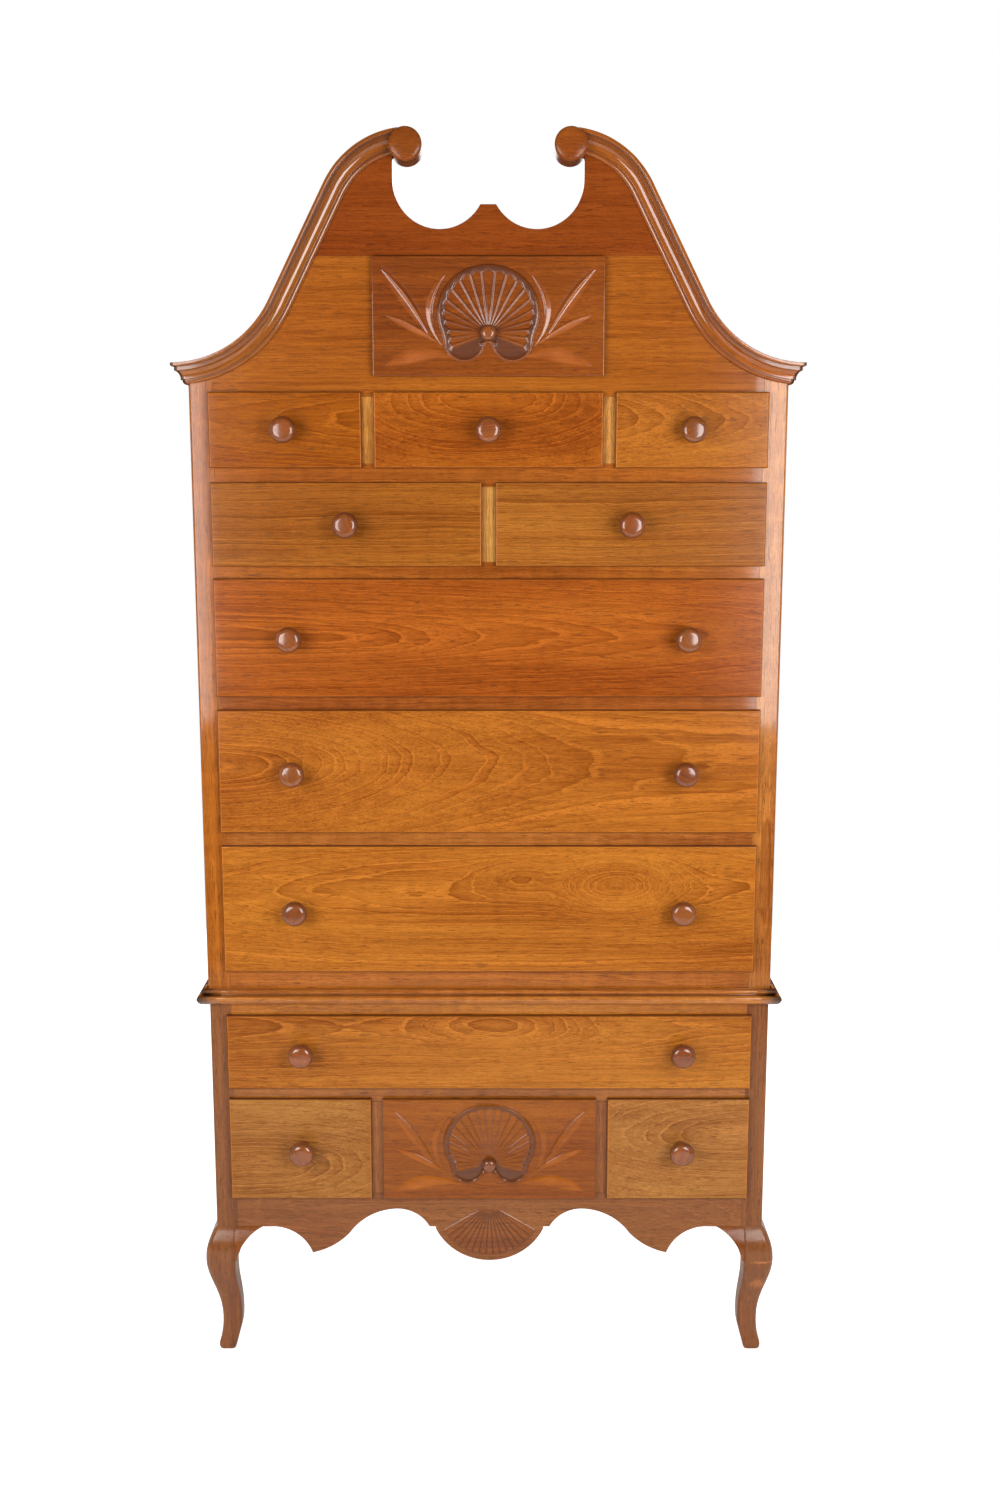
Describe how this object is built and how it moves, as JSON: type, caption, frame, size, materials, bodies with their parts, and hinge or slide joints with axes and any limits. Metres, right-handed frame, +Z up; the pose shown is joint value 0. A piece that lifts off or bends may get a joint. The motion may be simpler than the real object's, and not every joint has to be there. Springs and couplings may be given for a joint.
{
  "type": "highboy",
  "caption": "Tall chest of drawers on a low case with cabriole legs, with lipped drawers, turned knobs, carved shell drawers and a scrolled broken pediment with rosettes.",
  "frame": {"origin": "on the floor, under the centre of the bounding box", "axes": "+Z up; the drawers face -Y; +X is on the right of someone facing the front"},
  "size_m": [1.0062, 0.547, 2.061],
  "materials": {
    "front_wood": "satin varnish over golden brown figured wood",
    "carved_wood": "satin varnish over red-brown carved wood",
    "frame_wood": "satin varnish over plain red-brown wood",
    "side_wood": "satin varnish over plain brown wood",
    "plank_wood": "satin varnish over red-brown wood",
    "moulding_wood": "satin varnish over dark red-brown wood",
    "leg_wood": "satin varnish over brown wood",
    "knob_wood": "polished dark red-brown wood",
    "drawer_lining": "bare pale wood",
    "hidden_wood": "bare pale brown wood"
  },
  "bodies": {
    "case": {"upper_sides": "side_wood", "upper_stiles": "frame_wood", "upper_rails_and_dividers": "frame_wood", "upper_top_board": "hidden_wood", "upper_bottom_board": "hidden_wood", "upper_back_boards": "hidden_wood", "upper_drawer_bearers": "hidden_wood", "cornice_mouldings": "moulding_wood", "scroll_rosettes": "moulding_wood", "pediment_planks": "plank_wood", "pediment_drawer_housing": "hidden_wood", "waist_moulding": "moulding_wood", "lower_sides": "side_wood", "lower_corner_posts": "leg_wood", "lower_rails_and_dividers": "frame_wood", "front_apron": "leg_wood", "lower_back_boards": "hidden_wood", "lower_drawer_bearers": "hidden_wood", "front_legs": "leg_wood", "rear_legs": "leg_wood", "knee_brackets": "leg_wood"},
    "pediment_drawer": {"pediment_drawer_front": "carved_wood", "pediment_drawer_box": "drawer_lining", "pediment_drawer_boss": "knob_wood"},
    "top_left_drawer": {"top_left_drawer_front": "front_wood", "top_left_drawer_box": "drawer_lining", "top_left_drawer_knob": "knob_wood"},
    "top_middle_drawer": {"top_middle_drawer_front": "front_wood", "top_middle_drawer_box": "drawer_lining", "top_middle_drawer_knob": "knob_wood"},
    "top_right_drawer": {"top_right_drawer_front": "front_wood", "top_right_drawer_box": "drawer_lining", "top_right_drawer_knob": "knob_wood"},
    "second_left_drawer": {"second_left_drawer_front": "front_wood", "second_left_drawer_box": "drawer_lining", "second_left_drawer_knob": "knob_wood"},
    "second_right_drawer": {"second_right_drawer_front": "front_wood", "second_right_drawer_box": "drawer_lining", "second_right_drawer_knob": "knob_wood"},
    "third_drawer": {"third_drawer_front": "front_wood", "third_drawer_box": "drawer_lining", "third_drawer_knobs": "knob_wood"},
    "fourth_drawer": {"fourth_drawer_front": "front_wood", "fourth_drawer_box": "drawer_lining", "fourth_drawer_knobs": "knob_wood"},
    "fifth_drawer": {"fifth_drawer_front": "front_wood", "fifth_drawer_box": "drawer_lining", "fifth_drawer_knobs": "knob_wood"},
    "lower_wide_drawer": {"lower_wide_drawer_front": "front_wood", "lower_wide_drawer_box": "drawer_lining", "lower_wide_drawer_knobs": "knob_wood"},
    "lower_left_drawer": {"lower_left_drawer_front": "front_wood", "lower_left_drawer_box": "drawer_lining", "lower_left_drawer_knob": "knob_wood"},
    "lower_carved_drawer": {"lower_carved_drawer_front": "carved_wood", "lower_carved_drawer_box": "drawer_lining", "lower_carved_drawer_boss": "knob_wood"},
    "lower_right_drawer": {"lower_right_drawer_front": "front_wood", "lower_right_drawer_box": "drawer_lining", "lower_right_drawer_knob": "knob_wood"}
  },
  "joints": [
    {"name": "pediment_drawer_slide", "type": "slide", "parent": "case", "child": "pediment_drawer", "axis": [0, -1, 0], "range_m": [0, 0.2]},
    {"name": "top_left_drawer_slide", "type": "slide", "parent": "case", "child": "top_left_drawer", "axis": [0, -1, 0], "range_m": [0, 0.35]},
    {"name": "top_middle_drawer_slide", "type": "slide", "parent": "case", "child": "top_middle_drawer", "axis": [0, -1, 0], "range_m": [0, 0.35]},
    {"name": "top_right_drawer_slide", "type": "slide", "parent": "case", "child": "top_right_drawer", "axis": [0, -1, 0], "range_m": [0, 0.35]},
    {"name": "second_left_drawer_slide", "type": "slide", "parent": "case", "child": "second_left_drawer", "axis": [0, -1, 0], "range_m": [0, 0.35]},
    {"name": "second_right_drawer_slide", "type": "slide", "parent": "case", "child": "second_right_drawer", "axis": [0, -1, 0], "range_m": [0, 0.35]},
    {"name": "third_drawer_slide", "type": "slide", "parent": "case", "child": "third_drawer", "axis": [0, -1, 0], "range_m": [0, 0.35]},
    {"name": "fourth_drawer_slide", "type": "slide", "parent": "case", "child": "fourth_drawer", "axis": [0, -1, 0], "range_m": [0, 0.35]},
    {"name": "fifth_drawer_slide", "type": "slide", "parent": "case", "child": "fifth_drawer", "axis": [0, -1, 0], "range_m": [0, 0.35]},
    {"name": "lower_wide_drawer_slide", "type": "slide", "parent": "case", "child": "lower_wide_drawer", "axis": [0, -1, 0], "range_m": [0, 0.35]},
    {"name": "lower_left_drawer_slide", "type": "slide", "parent": "case", "child": "lower_left_drawer", "axis": [0, -1, 0], "range_m": [0, 0.35]},
    {"name": "lower_carved_drawer_slide", "type": "slide", "parent": "case", "child": "lower_carved_drawer", "axis": [0, -1, 0], "range_m": [0, 0.35]},
    {"name": "lower_right_drawer_slide", "type": "slide", "parent": "case", "child": "lower_right_drawer", "axis": [0, -1, 0], "range_m": [0, 0.35]}
  ]
}
